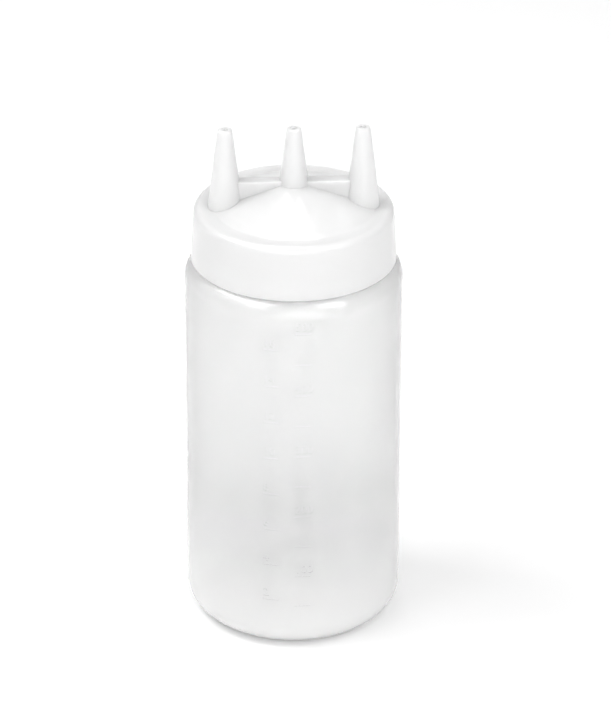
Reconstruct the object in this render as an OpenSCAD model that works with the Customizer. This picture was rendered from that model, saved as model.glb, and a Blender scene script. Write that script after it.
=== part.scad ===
// Wide-mouth squeeze bottle with a one-piece screw cap that carries three
// cone tips in a row. Both mouldings are soft, milky polyethylene.
// Millimetres. The origin is the centre of the base, +Z is up, the row of
// tips lies along X, and the graduations are on the -Y side.

/* [Bottle] */
// Outside diameter of the straight wall
bottle_d = 76; // [75:0.5:78]
// Thickness of the side wall
bottle_wall = 1.5; // [1.2:0.1:1.6]
// Height at which the straight wall ends and the shoulder starts
wall_top = 130.5; // [100:0.5:160]
// Radius of the shoulder above the wall
shoulder_r = 7.5; // [7:0.25:8]
// Radius of the heel below the wall
heel_r = 10; // [6:0.5:12]
// Thickness of the base
base_t = 2.2; // [1.6:0.1:3]
// Diameter of the push-up under the base
pushup_d = 48; // [30:1:50]
// Height of the push-up at its centre
pushup_h = 4; // [2:0.5:6]

/* [Neck] */
// Outside diameter of the neck, at the root of its thread
neck_d = 63.4; // [62.8:0.1:63.4]
// Thickness of the neck
neck_wall = 1.5; // [1.2:0.1:1.6]
// Rise of the thread in one turn
thread_pitch = 4.233; // [4:0.001:4.5]
// Length of the bottle's thread in turns
bottle_turns = 1.25; // [1:0.05:1.4]
// Length of the cap's thread in turns
cap_turns = 1; // [0.75:0.05:1]
// Height of each thread's crest above its root
thread_depth = 1.2; // [1:0.05:1.2]

/* [Cap] */
// Height of the cap's flat rim above the end of the straight wall
rim_rise = 26.5; // [26:0.5:30]
// Height of the skirt, from its lower edge to the rim
skirt_h = 19.5; // [18.5:0.25:19.5]
// Diameter of the flat ring on top, measured where its rounded edge starts
rim_flat_d = 64.3; // [64:0.1:66]
// Radius of the rounded edge between the top and the skirt
rim_edge_r = 2.6; // [1.5:0.1:3]
// Draft of the skirt's outside, in degrees
skirt_draft = 3.5; // [1:0.25:4]
// Inside diameter of the skirt
skirt_bore = 66.6; // [66.6:0.1:67]
// Thickness of the roof
roof_t = 1.5; // [1.2:0.1:1.8]
// Diameter of the roof's cone at its foot
cone_d = 56.4; // [54:0.2:58]
// Height of the roof's cone
cone_h = 10.3; // [8:0.1:11]
// Thickness of the bar that ties the three tips together
bar_t = 4.8; // [4:0.1:6]
// Height of the bar's top above the rim
bar_h = 9.9; // [8:0.1:10]

/* [Tips] */
// Height of the tips above the rim
tip_h = 29.2; // [22:0.1:40]
// Distance from one tip to the next
tip_pitch = 23.7; // [20:0.1:24]
// Outside diameter at the top of a tip
tip_top_d = 4.9; // [4.4:0.1:6]
// Half angle of a tip's cone, in degrees
tip_angle = 7.1; // [5:0.1:8]
// Diameter of the outlet
outlet_d = 2.2; // [1.6:0.1:2.4]
// Length of the outlet's straight part
outlet_l = 5; // [4:0.5:6]
// Thickness of a tip's wall at its foot
tip_wall = 1.4; // [1.2:0.1:1.6]

/* [Graduations] */
// Height of the empty level, which the scale is counted from
empty_z = 6.8; // [4:0.1:8]
// Height of a mark above the wall's surface
mark_relief = 0.3; // [0.2:0.05:0.5]
// Width of a mark's line
mark_w = 0.8; // [0.5:0.1:1.2]
// Length of a mark round the wall
mark_l = 5.6; // [4:0.1:8]
// Millilitres between the marks of the metric scale
ml_step = 50; // [50, 100]
// Last mark of the metric scale, in millilitres
ml_last = 500; // [300:50:500]
// Fluid ounces between the marks of the ounce scale
oz_step = 2; // [2, 4]
// Last mark of the ounce scale, in fluid ounces
oz_last = 16; // [8:4:16]

/* [Hidden] */
$fn = 96;
// Overlap of pieces that are joined, and how far a cutter runs past a face
eps = 0.01;
cut = 1;

// Bottle
bottle_r = bottle_d / 2;
inner_r = bottle_r - bottle_wall;
neck_r = neck_d / 2;
mouth_r = neck_r - neck_wall;
inner_heel_r = heel_r - bottle_wall;
pushup_r = pushup_d / 2;
pushup_ball_r = (pushup_r * pushup_r + pushup_h * pushup_h) / (2 * pushup_h);

// Cap
rim_z = wall_top + rim_rise;
skirt_z = rim_z - skirt_h;
roof_z = rim_z - roof_t;
lip_gap = 0.4;
mouth_z = roof_z - lip_gap;
skirt_bore_r = skirt_bore / 2;
rim_flat_r = rim_flat_d / 2;
cone_r = cone_d / 2;
cone_slope = cone_h / cone_r;
edge_top_r = rim_flat_r + rim_edge_r * cos(skirt_draft);
edge_top_z = rim_z - rim_edge_r + rim_edge_r * sin(skirt_draft);
skirt_r = edge_top_r + (edge_top_z - skirt_z) * tan(skirt_draft);
lead_in = 1.4;

// Threads, as trapezoids whose roots are sunk a little into the walls
thread_sink = 0.3;
thread_root_w = 2.2;
thread_crest_w = 1.2;
thread_rise = 15.5;
thread_z = wall_top + thread_rise;
thread_flank_gap = 1.75;
thread_steps = 36;
thread_ramp = 0.08;

// Seal ring, a plug that hangs under the roof inside the mouth
seal_gap = 0.3;
seal_r = mouth_r - seal_gap;
seal_wall = 1.2;
seal_h = 2.8;
seal_taper = 0.4;

// Tips
tip_top_z = rim_z + tip_h;
tip_top_r = tip_top_d / 2;
tip_slope = tan(tip_angle);
outlet_r = outlet_d / 2;
outlet_z = tip_top_z - outlet_l;
tip_end_chamfer = 0.5;
channel_wall = 1.3;
bar_slot = bar_t - 2 * tip_wall;

// Graduations: one column each side of the front
ml_per_oz = 29.574;
ml_column_x = 1.4;
oz_column_x = -9.8;

function tip_r_at(z) = tip_top_r + (tip_top_z - z) * tip_slope;
function level_z(ml) = empty_z + ml * 1000 / (PI * inner_r * inner_r);

// One vertex ring of a helical ridge: t runs from 0 to 1 along the thread
function ridge_section(root_r, crest_r, turns, z0, t, a) =
    let (
        grow = min(1, max(0.02, t / thread_ramp), max(0.02, (1 - t) / thread_ramp)),
        crest = root_r + (crest_r - root_r) * grow,
        z = z0 + thread_pitch * turns * t
    )
    [
        [root_r * cos(a), root_r * sin(a), z - thread_root_w / 2],
        [crest * cos(a), crest * sin(a), z - thread_crest_w / 2],
        [crest * cos(a), crest * sin(a), z + thread_crest_w / 2],
        [root_r * cos(a), root_r * sin(a), z + thread_root_w / 2]
    ];

// Right-hand helical ridge from root_r to crest_r that starts at angle a0
module helical_ridge(root_r, crest_r, turns, z0, a0) {
    count = ceil(turns * thread_steps);
    points = [
        for (i = [0:count])
            each ridge_section(root_r, crest_r, turns, z0, i / count, a0 + 360 * turns * i / count)
    ];
    sides = [
        for (i = [0:count - 1], k = [0:3])
            let (a = 4 * i + k, b = 4 * i + (k + 1) % 4, c = b + 4, d = a + 4)
            each [[a, b, c], [a, c, d]]
    ];
    ends = [[0, 3, 2], [0, 2, 1], [4 * count, 4 * count + 1, 4 * count + 2],
            [4 * count, 4 * count + 2, 4 * count + 3]];
    outward = [for (f = concat(sides, ends)) crest_r > root_r ? f : [f[0], f[2], f[1]]];
    polyhedron(points = points, faces = outward, convexity = 4);
}

// Half profile of the bottle's outside
module bottle_outline() {
    translate([0, heel_r]) square([bottle_r, wall_top - heel_r]);
    square([bottle_r - heel_r, heel_r + eps]);
    translate([bottle_r - heel_r, heel_r]) circle(heel_r);
    square([bottle_r - shoulder_r, wall_top + shoulder_r]);
    translate([bottle_r - shoulder_r, wall_top]) circle(shoulder_r);
    square([neck_r, mouth_z]);
}

// Half profile of the hollow inside the bottle
module bottle_hollow() {
    difference() {
        union() {
            translate([0, base_t + inner_heel_r])
                square([inner_r, wall_top - base_t - inner_heel_r]);
            translate([0, base_t]) square([inner_r - inner_heel_r, inner_heel_r + eps]);
            translate([inner_r - inner_heel_r, base_t + inner_heel_r]) circle(inner_heel_r);
            translate([0, base_t])
                square([bottle_r - shoulder_r, wall_top + shoulder_r - bottle_wall - base_t]);
            translate([bottle_r - shoulder_r, wall_top]) circle(shoulder_r - bottle_wall);
            translate([0, base_t]) square([mouth_r, mouth_z]);
        }
        translate([0, pushup_h - pushup_ball_r]) circle(pushup_ball_r + base_t, $fn = 180);
    }
}

module bottle() {
    color([0.90, 0.91, 0.91]) {
        rotate_extrude() intersection() {
            difference() {
                bottle_outline();
                bottle_hollow();
                translate([0, pushup_h - pushup_ball_r]) circle(pushup_ball_r, $fn = 180);
            }
            square([bottle_r, mouth_z]);
        }
        helical_ridge(neck_r - thread_sink, neck_r + thread_depth, bottle_turns, thread_z, 0);
    }
}

// One raised line on the wall, centred on x at a height
module mark(x, z) {
    a = 180 * x / (PI * bottle_r);
    rotate([0, 0, a]) intersection() {
        translate([-mark_l / 2, -bottle_r - cut, z - mark_w / 2])
            cube([mark_l, bottle_r / 2, mark_w]);
        translate([0, 0, z - mark_w]) difference() {
            cylinder(r = bottle_r + mark_relief, h = 2 * mark_w);
            translate([0, 0, -cut]) cylinder(r = bottle_r, h = 2 * mark_w + 2 * cut);
        }
    }
}

module graduation_marks() {
    color([0.86, 0.87, 0.87]) {
        for (ml = [ml_step:ml_step:ml_last]) mark(ml_column_x, level_z(ml));
        for (oz = [oz_step:oz_step:oz_last]) mark(oz_column_x, level_z(oz * ml_per_oz));
    }
}

module seal_ring() {
    color([0.95, 0.96, 0.96]) rotate_extrude() polygon([
        [seal_r - seal_wall, roof_z],
        [seal_r - seal_wall, roof_z - seal_h],
        [seal_r - seal_taper, roof_z - seal_h],
        [seal_r, roof_z - seal_h + 3 * seal_taper],
        [seal_r, roof_z]
    ]);
}

// Half profile of the cap's outside, without its tips
module cap_outline() {
    polygon([[0, skirt_z], [skirt_r, skirt_z], [edge_top_r, edge_top_z],
             [rim_flat_r, rim_z - rim_edge_r], [0, rim_z - rim_edge_r]]);
    translate([rim_flat_r, rim_z - rim_edge_r]) circle(rim_edge_r);
    translate([0, rim_z - rim_edge_r - eps]) square([rim_flat_r, rim_edge_r + eps]);
    polygon([[0, rim_z - eps], [cone_r, rim_z - eps], [cone_r, rim_z], [0, rim_z + cone_h]]);
}

// Half profile of the hollow under the cap
module cap_hollow() {
    inner_cone_r = cone_r - roof_t * tan(atan(cone_slope) / 2);
    polygon([[0, skirt_z - cut], [skirt_bore_r + lead_in, skirt_z - cut],
             [skirt_bore_r + lead_in, skirt_z], [skirt_bore_r, skirt_z + lead_in],
             [skirt_bore_r, roof_z], [inner_cone_r, roof_z],
             [0, roof_z + inner_cone_r * cone_slope]]);
}

module tip_outside(x) {
    foot_z = roof_z + eps;
    translate([x, 0, foot_z])
        cylinder(r1 = tip_r_at(foot_z), r2 = tip_r_at(tip_top_z - tip_end_chamfer),
                 h = tip_top_z - tip_end_chamfer - foot_z);
    translate([x, 0, tip_top_z - tip_end_chamfer])
        cylinder(r1 = tip_r_at(tip_top_z - tip_end_chamfer), r2 = tip_top_r - tip_end_chamfer,
                 h = tip_end_chamfer);
}

// Tapering channel up a tip, then the straight outlet
module tip_channel(x) {
    channel_z = roof_z - cut;
    funnel_r = tip_r_at(outlet_z) - channel_wall;
    funnel_h = funnel_r - outlet_r;
    translate([x, 0, channel_z])
        cylinder(r1 = tip_r_at(channel_z) - tip_wall, r2 = funnel_r,
                 h = outlet_z - funnel_h - channel_z);
    translate([x, 0, outlet_z - funnel_h])
        cylinder(r1 = funnel_r, r2 = outlet_r, h = funnel_h);
    translate([x, 0, outlet_z - eps]) cylinder(r = outlet_r, h = outlet_l + cut);
}

module three_tip_cap() {
    tips = [-tip_pitch, 0, tip_pitch];
    color([0.97, 0.98, 0.98]) {
        difference() {
            union() {
                rotate_extrude() cap_outline();
                translate([-tip_pitch, -bar_t / 2, roof_z + eps])
                    cube([2 * tip_pitch, bar_t, rim_z + bar_h - roof_z - eps]);
                for (x = tips) tip_outside(x);
            }
            rotate_extrude() cap_hollow();
            translate([-tip_pitch, -bar_slot / 2, roof_z - cut])
                cube([2 * tip_pitch, bar_slot, rim_z + bar_h - tip_wall - roof_z + cut]);
            for (x = tips) tip_channel(x);
        }
        helical_ridge(skirt_bore_r + thread_sink, skirt_bore_r - thread_depth, cap_turns,
                      thread_z - thread_flank_gap - thread_pitch / 4, -90);
    }
}

bottle();
graduation_marks();
seal_ring();
three_tip_cap();
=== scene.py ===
"""A wide-mouth squeeze bottle with a screw cap that carries three cone tips in a row."""
import math

import bpy
from mathutils import Matrix, Vector


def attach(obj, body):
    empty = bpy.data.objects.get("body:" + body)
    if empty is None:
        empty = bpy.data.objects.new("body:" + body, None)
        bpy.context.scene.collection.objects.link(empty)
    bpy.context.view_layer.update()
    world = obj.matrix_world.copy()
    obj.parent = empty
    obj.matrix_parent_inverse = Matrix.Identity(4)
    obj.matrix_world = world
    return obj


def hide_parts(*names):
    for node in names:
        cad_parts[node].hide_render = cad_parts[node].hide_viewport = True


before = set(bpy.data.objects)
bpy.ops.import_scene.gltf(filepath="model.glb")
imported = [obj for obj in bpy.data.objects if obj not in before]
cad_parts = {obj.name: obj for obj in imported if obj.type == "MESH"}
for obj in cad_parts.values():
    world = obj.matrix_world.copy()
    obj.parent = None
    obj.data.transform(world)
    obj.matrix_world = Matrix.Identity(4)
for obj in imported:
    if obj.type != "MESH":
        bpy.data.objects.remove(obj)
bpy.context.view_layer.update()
MM = 0.001


# ---------------------------------------------------------------------------
# Studio: a flat pale card under the bottle, a large soft light high on the
# left, three soft boxes overhead, a wide fill in front, and a long lens that
# looks down on it.
VIEW_AZIMUTH = math.radians(3)
VIEW_RISE = math.radians(27.77)
VIEW_DISTANCE = 1.5
VIEW_ROLL = math.radians(0.187)
VIEW_AIM = (4.187 * MM, 96.45 * MM)
LENS = 213.07

to_camera = Vector((
    -math.sin(VIEW_AZIMUTH) * math.cos(VIEW_RISE),
    -math.cos(VIEW_AZIMUTH) * math.cos(VIEW_RISE),
    math.sin(VIEW_RISE),
))
camera_right = Vector((math.cos(VIEW_AZIMUTH), -math.sin(VIEW_AZIMUTH), 0))
aim = camera_right * VIEW_AIM[0] + Vector((0, 0, VIEW_AIM[1]))
bpy.ops.object.camera_add(location=aim + to_camera * VIEW_DISTANCE)
camera = bpy.context.object
facing = (-to_camera).to_track_quat("-Z", "Y").to_matrix()
camera.rotation_euler = (facing @ Matrix.Rotation(VIEW_ROLL, 3, "Z")).to_euler()
camera.data.lens = LENS
bpy.context.scene.camera = camera

bpy.ops.mesh.primitive_plane_add(size=8)
floor = bpy.context.object
floor.name = "floor"
floor_paint = bpy.data.materials.new("pale_card")
floor_paint.use_nodes = True
floor_shader = floor_paint.node_tree.nodes["Principled BSDF"]
floor_shader.inputs["Base Color"].default_value = (0.76, 0.76, 0.76, 1)
floor_shader.inputs["Roughness"].default_value = 0.8
floor_shader.inputs["Specular IOR Level"].default_value = 0.1
floor_shader.inputs["Emission Color"].default_value = (1, 1, 1, 1)
floor_shader.inputs["Emission Strength"].default_value = 0.09
floor.data.materials.append(floor_paint)


def soft_box(name, place, size, watts, aim_at=(0, 0, 0.1)):
    """A rectangular soft light that faces the bottle."""
    bpy.ops.object.light_add(type="AREA", location=place)
    lamp = bpy.context.object
    lamp.name = name
    lamp.data.shape = "RECTANGLE"
    lamp.data.size = size[0]
    lamp.data.size_y = size[1]
    lamp.data.energy = watts
    facing_bottle = Vector(aim_at) - Vector(place)
    lamp.rotation_euler = facing_bottle.to_track_quat("-Z", "X").to_euler()
    return lamp


soft_box("left_top_box", (-0.6, -0.52, 1.12), (0.8, 0.4), 2.9)
soft_box("right_top_box", (0.6, -0.52, 1.12), (0.8, 0.4), 5.4)
soft_box("back_top_box", (0.0, 0.55, 1.2), (0.35, 0.35), 1.6)
soft_box("key_lamp", (-0.72, 0.05, 1.18), (0.6, 0.6), 9)
front_fill = soft_box("front_fill", (0.2, -1.3, 0.42), (1.5, 1), 12.5)
front_fill.visible_glossy = False

world = bpy.data.worlds.new("white_studio")
world.use_nodes = True
background = world.node_tree.nodes["Background"]
background.inputs["Color"].default_value = (1, 1, 1, 1)
direction = world.node_tree.nodes.new("ShaderNodeTexCoord")
height = world.node_tree.nodes.new("ShaderNodeSeparateXYZ")
brightness = world.node_tree.nodes.new("ShaderNodeMapRange")
brightness.interpolation_type = "SMOOTHSTEP"
brightness.inputs["From Min"].default_value = 0.25
brightness.inputs["From Max"].default_value = 0.75
brightness.inputs["To Min"].default_value = 0.74
brightness.inputs["To Max"].default_value = 0.5
world.node_tree.links.new(direction.outputs["Generated"], height.inputs["Vector"])
world.node_tree.links.new(height.outputs["Z"], brightness.inputs["Value"])
world.node_tree.links.new(brightness.outputs["Result"], background.inputs["Strength"])
bpy.context.scene.world = world
bpy.context.scene.view_settings.view_transform = "Standard"


# ---------------------------------------------------------------------------
# Bottle: one blow-moulded piece of milky soft polyethylene, with a straight
# wall, a tight shoulder, a threaded neck and a base pushed up in the middle.
# Its wall is about 1.5 mm all round.
BOTTLE_R = 38 * MM
WALL = 1.5 * MM
WALL_TOP = 130.5 * MM
SHOULDER_R = 7.5 * MM
HEEL_R = 10 * MM
PUSHUP_R = 24 * MM
PUSHUP_H = 4 * MM
NECK_R = 31.7 * MM
MOUTH_Z = 155.1 * MM
THREAD_PITCH = 4.233 * MM
THREAD_DEPTH = 1.2 * MM
THREAD_ROOT_W = 2.2 * MM
THREAD_CREST_W = 1.2 * MM
THREAD_SINK = 0.3 * MM
THREAD_RUN_OUT = 0.08
THREAD_END = 0.05
BOTTLE_THREAD_Z = 146 * MM
BOTTLE_THREAD_TURNS = 1.25


def arc(centre, radius, start, end, steps):
    """Points (r, z) on an arc, with the angles in degrees."""
    angles = [math.radians(start + (end - start) * i / steps) for i in range(steps + 1)]
    return [(centre[0] + radius * math.cos(a), centre[1] + radius * math.sin(a)) for a in angles]


def turned_shell(name, outline, sides=160, start_closed=False, end_closed=False, loop=False):
    """Grows a shell ring by ring: a circle at the first (r, z), extruded from point to point."""
    bpy.ops.object.select_all(action="DESELECT")
    bpy.ops.mesh.primitive_circle_add(
        vertices=sides,
        radius=outline[0][0],
        fill_type="TRIFAN" if start_closed else "NOTHING",
        location=(0, 0, outline[0][1]),
    )
    shell = bpy.context.object
    shell.name = name
    shell.data.name = name
    bpy.ops.object.transform_apply(location=True)
    bpy.ops.object.mode_set(mode="EDIT")
    bpy.ops.mesh.select_mode(type="EDGE")
    bpy.ops.mesh.select_all(action="SELECT")
    if start_closed:
        bpy.ops.mesh.region_to_loop()
    stops = outline + outline[:1] if loop else outline
    for (r0, z0), (r1, z1) in zip(stops, stops[1:]):
        bpy.ops.mesh.extrude_edges_move(TRANSFORM_OT_translate={"value": (0, 0, z1 - z0)})
        bpy.ops.transform.resize(value=(r1 / r0, r1 / r0, 1), center_override=(0, 0, z1))
    if end_closed:
        bpy.ops.mesh.extrude_edges_move()
        bpy.ops.mesh.merge(type="CENTER")
    bpy.ops.mesh.select_all(action="SELECT")
    bpy.ops.mesh.remove_doubles(threshold=0.001 * MM)
    bpy.ops.mesh.normals_make_consistent(inside=False)
    bpy.ops.object.mode_set(mode="OBJECT")
    return shell


def screw_thread(name, root_r, crest_r, turns, z, start_angle):
    """A right-hand helical ridge whose two ends run out into the wall."""
    bpy.ops.object.select_all(action="DESELECT")
    bpy.ops.mesh.primitive_plane_add(size=1)
    thread = bpy.context.object
    thread.name = name
    corners = [
        (root_r, -THREAD_ROOT_W / 2),
        (crest_r, -THREAD_CREST_W / 2),
        (crest_r, THREAD_CREST_W / 2),
        (root_r, THREAD_ROOT_W / 2),
    ]
    order = sorted(thread.data.vertices, key=lambda v: math.atan2(v.co.y, v.co.x))
    for vertex, (r, height) in zip(order, corners):
        vertex.co = (r, 0, z + height)
    thread.rotation_euler.z = start_angle
    bpy.ops.object.transform_apply(rotation=True)
    bpy.ops.object.mode_set(mode="EDIT")
    bpy.ops.mesh.select_all(action="SELECT")
    bpy.ops.mesh.delete(type="ONLY_FACE")
    bpy.ops.object.mode_set(mode="OBJECT")
    screw = thread.modifiers.new("wind", "SCREW")
    screw.angle = 2 * math.pi * turns
    screw.screw_offset = THREAD_PITCH * turns
    screw.steps = round(64 * turns)
    screw.render_steps = screw.steps
    screw.use_normal_calculate = True
    bpy.ops.object.modifier_apply(modifier=screw.name)
    for vertex in thread.data.vertices:
        lift = vertex.co.z - z
        turn = min(1, max(0, lift / (THREAD_PITCH * turns)))
        grow = max(THREAD_END, min(1, turn / THREAD_RUN_OUT, (1 - turn) / THREAD_RUN_OUT))
        radius = math.hypot(vertex.co.x, vertex.co.y)
        if abs(radius - crest_r) < 0.2 * MM:
            wanted = root_r + (crest_r - root_r) * grow
            vertex.co.x *= wanted / radius
            vertex.co.y *= wanted / radius
    bpy.ops.object.mode_set(mode="EDIT")
    bpy.ops.mesh.select_all(action="SELECT")
    bpy.ops.mesh.remove_doubles(threshold=0.001 * MM)
    bpy.ops.mesh.select_all(action="DESELECT")
    bpy.ops.mesh.select_mode(type="EDGE")
    bpy.ops.mesh.select_non_manifold()
    bpy.ops.mesh.edge_face_add()
    bpy.ops.mesh.select_all(action="SELECT")
    bpy.ops.mesh.normals_make_consistent(inside=False)
    bpy.ops.object.mode_set(mode="OBJECT")
    return thread


def join_or_cut(piece, other, operation):
    """Applies an exact Boolean with another solid, which is then removed."""
    bpy.ops.object.select_all(action="DESELECT")
    piece.select_set(True)
    bpy.context.view_layer.objects.active = piece
    boolean = piece.modifiers.new("boolean", "BOOLEAN")
    boolean.operation = operation
    boolean.solver = "EXACT"
    boolean.object = other
    bpy.ops.object.modifier_apply(modifier=boolean.name)
    bpy.data.objects.remove(other)


def smooth_faces(piece, angle):
    bpy.ops.object.select_all(action="DESELECT")
    piece.select_set(True)
    bpy.context.view_layer.objects.active = piece
    bpy.ops.object.shade_smooth_by_angle(angle=math.radians(angle))


pushup_ball_r = (PUSHUP_R ** 2 + PUSHUP_H ** 2) / (2 * PUSHUP_H)
pushup_half_angle = math.degrees(math.asin(PUSHUP_R / pushup_ball_r))
bottle_outline = [
    *arc((0, PUSHUP_H - pushup_ball_r), pushup_ball_r, 90 - 1, 90 - pushup_half_angle, 12),
    *arc((BOTTLE_R - HEEL_R, HEEL_R), HEEL_R, -90, 0, 16),
    *[(BOTTLE_R, HEEL_R + (WALL_TOP - HEEL_R) * k / 24) for k in range(1, 24)],
    *arc((BOTTLE_R - SHOULDER_R, WALL_TOP), SHOULDER_R, 0, 80, 16),
    (NECK_R, WALL_TOP + SHOULDER_R - 0.05 * MM),
    (NECK_R, WALL_TOP + SHOULDER_R + 1 * MM),
    (NECK_R, MOUTH_Z - 0.3 * MM),
    (NECK_R - 0.3 * MM, MOUTH_Z),
]
bottle = turned_shell("squeeze_bottle", bottle_outline, start_closed=True)
wall = bottle.modifiers.new("wall", "SOLIDIFY")
wall.thickness = WALL
wall.offset = -1
wall.use_even_offset = True
bpy.ops.object.modifier_apply(modifier=wall.name)
bottle_thread = screw_thread(
    "bottle_thread", NECK_R - THREAD_SINK, NECK_R + THREAD_DEPTH, BOTTLE_THREAD_TURNS, BOTTLE_THREAD_Z, 0)
join_or_cut(bottle, bottle_thread, "UNION")
smooth_faces(bottle, 35)


def milky_plastic(name, colour, clarity, roughness, milk_depth, ior=1.5):
    """Soft polyethylene: light passes through it and is scattered inside it."""
    plastic = bpy.data.materials.new(name)
    plastic.use_nodes = True
    tree = plastic.node_tree
    shader = tree.nodes["Principled BSDF"]
    shader.inputs["Base Color"].default_value = (*colour, 1)
    shader.inputs["Transmission Weight"].default_value = clarity
    shader.inputs["Subsurface Weight"].default_value = 1
    shader.inputs["Subsurface Radius"].default_value = (1, 1, 1)
    shader.inputs["Subsurface Scale"].default_value = milk_depth
    shader.inputs["Coat Weight"].default_value = 0.6
    shader.inputs["Coat Roughness"].default_value = 0.1
    shader.inputs["IOR"].default_value = ior
    place = tree.nodes.new("ShaderNodeTexCoord")
    haze = tree.nodes.new("ShaderNodeTexNoise")
    haze.inputs["Scale"].default_value = 60
    haze.inputs["Detail"].default_value = 5
    tree.links.new(place.outputs["Object"], haze.inputs["Vector"])
    gloss = tree.nodes.new("ShaderNodeMapRange")
    gloss.inputs["To Min"].default_value = roughness - 0.04
    gloss.inputs["To Max"].default_value = roughness + 0.04
    tree.links.new(haze.outputs["Fac"], gloss.inputs["Value"])
    tree.links.new(gloss.outputs["Result"], shader.inputs["Roughness"])
    skin = tree.nodes.new("ShaderNodeBump")
    skin.inputs["Strength"].default_value = 0.3
    skin.inputs["Distance"].default_value = 0.15 * MM
    tree.links.new(haze.outputs["Fac"], skin.inputs["Height"])
    tree.links.new(skin.outputs["Normal"], shader.inputs["Normal"])
    return plastic


def vary_clarity(plastic, heights, clarities):
    """Milkier plastic low down and clearer above, so the dark hollow of the base shows less."""
    tree = plastic.node_tree
    place = tree.nodes["Texture Coordinate"]
    height = tree.nodes.new("ShaderNodeSeparateXYZ")
    clarity = tree.nodes.new("ShaderNodeMapRange")
    clarity.interpolation_type = "SMOOTHSTEP"
    clarity.inputs["From Min"].default_value = heights[0]
    clarity.inputs["From Max"].default_value = heights[1]
    clarity.inputs["To Min"].default_value = clarities[0]
    clarity.inputs["To Max"].default_value = clarities[1]
    tree.links.new(place.outputs["Object"], height.inputs["Vector"])
    tree.links.new(height.outputs["Z"], clarity.inputs["Value"])
    tree.links.new(clarity.outputs["Result"], tree.nodes["Principled BSDF"].inputs["Transmission Weight"])


bottle_plastic = milky_plastic("milky_bottle_plastic", (0.99, 0.99, 0.99), 0.75, 0.22, 4 * MM)
vary_clarity(bottle_plastic, (2 * MM, 62 * MM), (0.4, 0.75))
bottle.data.materials.append(bottle_plastic)
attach(bottle, "bottle")
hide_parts("bottle")


# ---------------------------------------------------------------------------
# Graduations: fine raised lines and numbers moulded on the front of the wall.
# The right column is made as millilitres and the left as fluid ounces.
MARK_RELIEF = 0.2 * MM
MARK_ROOT = 0.03 * MM
MARK_W = 0.7 * MM
MARK_L = 5.6 * MM
EMPTY_Z = 6.8 * MM
ML_COLUMN = 1.4 * MM
OZ_COLUMN = -9.8 * MM
ML_PER_OZ = 29.574
MARK_EDGE = 0.08 * MM
NUMBER_H = 3.2 * MM
NUMBER_RISE = 1.2 * MM
FIGURE_SHARE = 0.73
BORE_R_MM = 36.5


def level(ml):
    """Height of the liquid's surface in the straight wall."""
    return EMPTY_Z + ml * 1000 / (math.pi * BORE_R_MM ** 2) * MM


def wrap_on_wall(piece, column, z):
    """Bends a flat mark round the wall: its x runs along the arc, y up and z outwards."""
    for vertex in piece.data.vertices:
        along, up, out = vertex.co
        turn = (column + along) / BOTTLE_R
        radius = BOTTLE_R + MARK_RELIEF / 2 - MARK_ROOT + out
        vertex.co = (radius * math.sin(turn), -radius * math.cos(turn), z + up)


def mark_line(column, z):
    bpy.ops.object.select_all(action="DESELECT")
    bpy.ops.mesh.primitive_cube_add(size=1, scale=(MARK_L, MARK_W, MARK_RELIEF))
    line = bpy.context.object
    bpy.ops.object.transform_apply(scale=True)
    bpy.ops.object.mode_set(mode="EDIT")
    bpy.ops.mesh.select_all(action="SELECT")
    bpy.ops.mesh.subdivide(number_cuts=3)
    bpy.ops.object.mode_set(mode="OBJECT")
    edge = line.modifiers.new("soft_edge", "BEVEL")
    edge.width = MARK_EDGE
    edge.segments = 2
    bpy.ops.object.modifier_apply(modifier=edge.name)
    wrap_on_wall(line, column, z)
    return line


def mark_number(text, column, z):
    bpy.ops.object.select_all(action="DESELECT")
    bpy.ops.object.text_add()
    number = bpy.context.object
    number.data.body = str(text)
    number.data.size = NUMBER_H / FIGURE_SHARE
    number.data.extrude = MARK_RELIEF / 2
    number.data.resolution_u = 4
    bpy.ops.object.convert(target="MESH")
    number = bpy.context.object
    wrap_on_wall(number, column, z)
    return number


marks = []
for ml in range(50, 501, 50):
    marks.append(mark_line(ML_COLUMN, level(ml)))
    if ml % 100 == 0:
        marks.append(mark_number(ml, ML_COLUMN - MARK_L / 2, level(ml) + NUMBER_RISE))
for oz in range(2, 17, 2):
    marks.append(mark_line(OZ_COLUMN, level(oz * ML_PER_OZ)))
    marks.append(mark_number(oz, OZ_COLUMN - MARK_L / 2, level(oz * ML_PER_OZ) + NUMBER_RISE))
bpy.ops.object.select_all(action="DESELECT")
for mark in marks:
    mark.select_set(True)
bpy.context.view_layer.objects.active = marks[0]
bpy.ops.object.join()
graduations = bpy.context.object
graduations.name = "graduation_scale"
smooth_faces(graduations, 40)
graduation_plastic = milky_plastic("thin_mark_plastic", (0.99, 0.99, 0.99), 1, 0.1, 4 * MM, 1.2)
graduations.data.materials.append(graduation_plastic)
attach(graduations, "bottle")
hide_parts("graduation_marks")


# ---------------------------------------------------------------------------
# Seal ring: a short plug of the same plastic as the cap, moulded under its
# roof, which fits inside the bottle's mouth as the cap is screwed down.
SEAL_R = 29.9 * MM
SEAL_WALL = 1.2 * MM
SEAL_H = 2.8 * MM
ROOF_Z = 155.5 * MM

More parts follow.
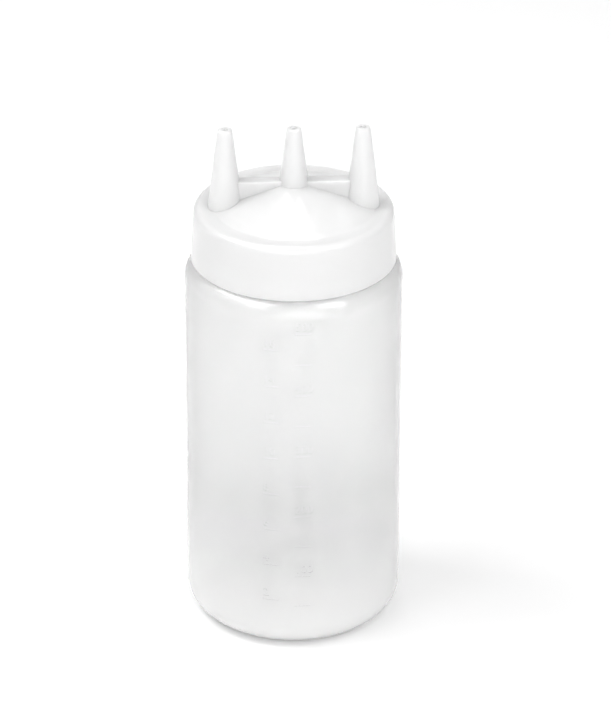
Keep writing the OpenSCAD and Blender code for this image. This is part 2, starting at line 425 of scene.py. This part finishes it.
seal = turned_shell("seal_ring_plug", [
    (SEAL_R - SEAL_WALL, ROOF_Z),
    (SEAL_R - SEAL_WALL, ROOF_Z - SEAL_H + 0.2 * MM),
    (SEAL_R - SEAL_WALL + 0.2 * MM, ROOF_Z - SEAL_H),
    (SEAL_R - 0.5 * MM, ROOF_Z - SEAL_H),
    (SEAL_R - 0.3 * MM, ROOF_Z - SEAL_H + 0.3 * MM),
    (SEAL_R, ROOF_Z - SEAL_H + 1.2 * MM),
    (SEAL_R, ROOF_Z),
], loop=True)
smooth_faces(seal, 35)
cap_plastic = milky_plastic("milky_cap_plastic", (0.87, 0.87, 0.87), 0.45, 0.3, 1 * MM)
seal.data.materials.append(cap_plastic)
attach(seal, "seal")
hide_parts("seal_ring")


# ---------------------------------------------------------------------------
# Cap: one injection moulding with a threaded skirt, a roof that rises in a
# low cone, a straight bar across it, and three hollow tips on the bar.
RIM_Z = 157 * MM
SKIRT_Z = 137.5 * MM
RIM_FLAT_R = 32.15 * MM
RIM_EDGE_R = 2.6 * MM
SKIRT_DRAFT = math.radians(3.5)
SKIRT_BORE_R = 33.3 * MM
LEAD_IN = 1.4 * MM
SKIRT_EDGE = 0.6 * MM
ROOF_T = 1.5 * MM
CONE_R = 28.2 * MM
CONE_H = 10.3 * MM
BAR_T = 4.8 * MM
BAR_H = 9.9 * MM
BAR_EDGE = 0.35 * MM
TIP_PITCH = 23.7 * MM
TIP_TOP_Z = 186.2 * MM
TIP_TOP_R = 2.45 * MM
TIP_SLOPE = math.tan(math.radians(7.1))
OUTLET_R = 1.1 * MM
OUTLET_L = 5 * MM
TIP_WALL = 1.4 * MM
TIP_ROUND_R = 0.6 * MM
CHANNEL_WALL = 1.3 * MM
CAP_THREAD_Z = 143.19 * MM

edge_top_r = RIM_FLAT_R + RIM_EDGE_R * math.cos(SKIRT_DRAFT)
edge_top_z = RIM_Z - RIM_EDGE_R + RIM_EDGE_R * math.sin(SKIRT_DRAFT)
skirt_r = edge_top_r + (edge_top_z - SKIRT_Z) * math.tan(SKIRT_DRAFT)
cone_slope = CONE_H / CONE_R
inner_cone_r = CONE_R - ROOF_T * math.tan(math.atan(cone_slope) / 2)
APEX = 0.4 * MM
cap_outline = [
    (APEX, RIM_Z + CONE_H - APEX * cone_slope),
    *[(CONE_R * k / 8, RIM_Z + CONE_H * (1 - k / 8)) for k in range(1, 8)],
    (CONE_R - 0.3 * MM, RIM_Z + 0.3 * MM * cone_slope),
    (CONE_R + 0.3 * MM, RIM_Z),
    *arc((RIM_FLAT_R, RIM_Z - RIM_EDGE_R), RIM_EDGE_R, 90, 3.5, 12),
    *[(edge_top_r + (skirt_r - edge_top_r) * k / 6, edge_top_z + (SKIRT_Z - edge_top_z) * k / 6)
      for k in range(1, 6)],
    *arc((skirt_r - SKIRT_EDGE, SKIRT_Z + SKIRT_EDGE), SKIRT_EDGE, 0, -90, 5),
    (SKIRT_BORE_R + LEAD_IN, SKIRT_Z),
    (SKIRT_BORE_R, SKIRT_Z + LEAD_IN),
    (SKIRT_BORE_R, ROOF_Z),
    (inner_cone_r, ROOF_Z),
    (APEX, ROOF_Z + (inner_cone_r - APEX) * cone_slope),
]
cap = turned_shell("three_tip_screw_cap", cap_outline, start_closed=True, end_closed=True)


def tip_r_at(z):
    return TIP_TOP_R + (TIP_TOP_Z - z) * TIP_SLOPE


def move_along_bar(piece, x):
    piece.location.x = x
    bpy.ops.object.select_all(action="DESELECT")
    piece.select_set(True)
    bpy.context.view_layer.objects.active = piece
    bpy.ops.object.transform_apply(location=True)
    return piece


def tip_solid(x):
    foot_z = ROOF_Z + 0.01 * MM
    shoulder_z = TIP_TOP_Z - TIP_ROUND_R
    outline = [(APEX, foot_z), (tip_r_at(foot_z), foot_z)]
    outline += [(tip_r_at(foot_z + (shoulder_z - foot_z) * k / 12), foot_z + (shoulder_z - foot_z) * k / 12)
                for k in range(1, 12)]
    outline += arc((TIP_TOP_R - TIP_ROUND_R, shoulder_z), TIP_ROUND_R, 7, 90, 6)
    outline += [(APEX, TIP_TOP_Z)]
    return move_along_bar(turned_shell("tip", outline, 64, True, True), x)


def tip_bore(x):
    low_z = ROOF_Z - 1 * MM
    outlet_z = TIP_TOP_Z - OUTLET_L
    funnel_r = tip_r_at(outlet_z) - CHANNEL_WALL
    outline = [
        (APEX, low_z),
        (tip_r_at(low_z) - TIP_WALL, low_z),
        (funnel_r, outlet_z - funnel_r + OUTLET_R),
        (OUTLET_R, outlet_z),
        (OUTLET_R, TIP_TOP_Z + 1 * MM),
        (APEX, TIP_TOP_Z + 1 * MM),
    ]
    return move_along_bar(turned_shell("tip_bore", outline, 48, True, True), x)


def straight_bar(name, thickness, low_z, top_z, edge):
    bpy.ops.object.select_all(action="DESELECT")
    bpy.ops.mesh.primitive_cube_add(
        size=1,
        location=(0, 0, (low_z + top_z) / 2),
        scale=(2 * TIP_PITCH, thickness, top_z - low_z),
    )
    bar = bpy.context.object
    bar.name = name
    bpy.ops.object.transform_apply(location=True, scale=True)
    if edge:
        bpy.ops.object.mode_set(mode="EDIT")
        bpy.ops.mesh.select_all(action="DESELECT")
        bpy.ops.object.mode_set(mode="OBJECT")
        for corner in bar.data.edges:
            ends = [bar.data.vertices[i].co for i in corner.vertices]
            corner.select = all(end.z > top_z - edge for end in ends) and abs(ends[0].x - ends[1].x) > edge
        bpy.ops.object.mode_set(mode="EDIT")
        bpy.ops.mesh.bevel(offset=edge, segments=3)
        bpy.ops.object.mode_set(mode="OBJECT")
    return bar


join_or_cut(cap, straight_bar("bar", BAR_T, ROOF_Z + 0.01 * MM, RIM_Z + BAR_H, BAR_EDGE), "UNION")
for x in (-TIP_PITCH, 0, TIP_PITCH):
    join_or_cut(cap, tip_solid(x), "UNION")
join_or_cut(cap, straight_bar(
    "bar_slot", BAR_T - 2 * TIP_WALL, ROOF_Z - 1 * MM, RIM_Z + BAR_H - TIP_WALL, 0), "DIFFERENCE")
for x in (-TIP_PITCH, 0, TIP_PITCH):
    join_or_cut(cap, tip_bore(x), "DIFFERENCE")
cap_thread = screw_thread(
    "cap_thread", SKIRT_BORE_R + THREAD_SINK, SKIRT_BORE_R - THREAD_DEPTH, 1, CAP_THREAD_Z, -math.pi / 2)
join_or_cut(cap, cap_thread, "UNION")
smooth_faces(cap, 30)
cap.data.materials.append(cap_plastic)
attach(cap, "cap")
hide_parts("three_tip_cap")
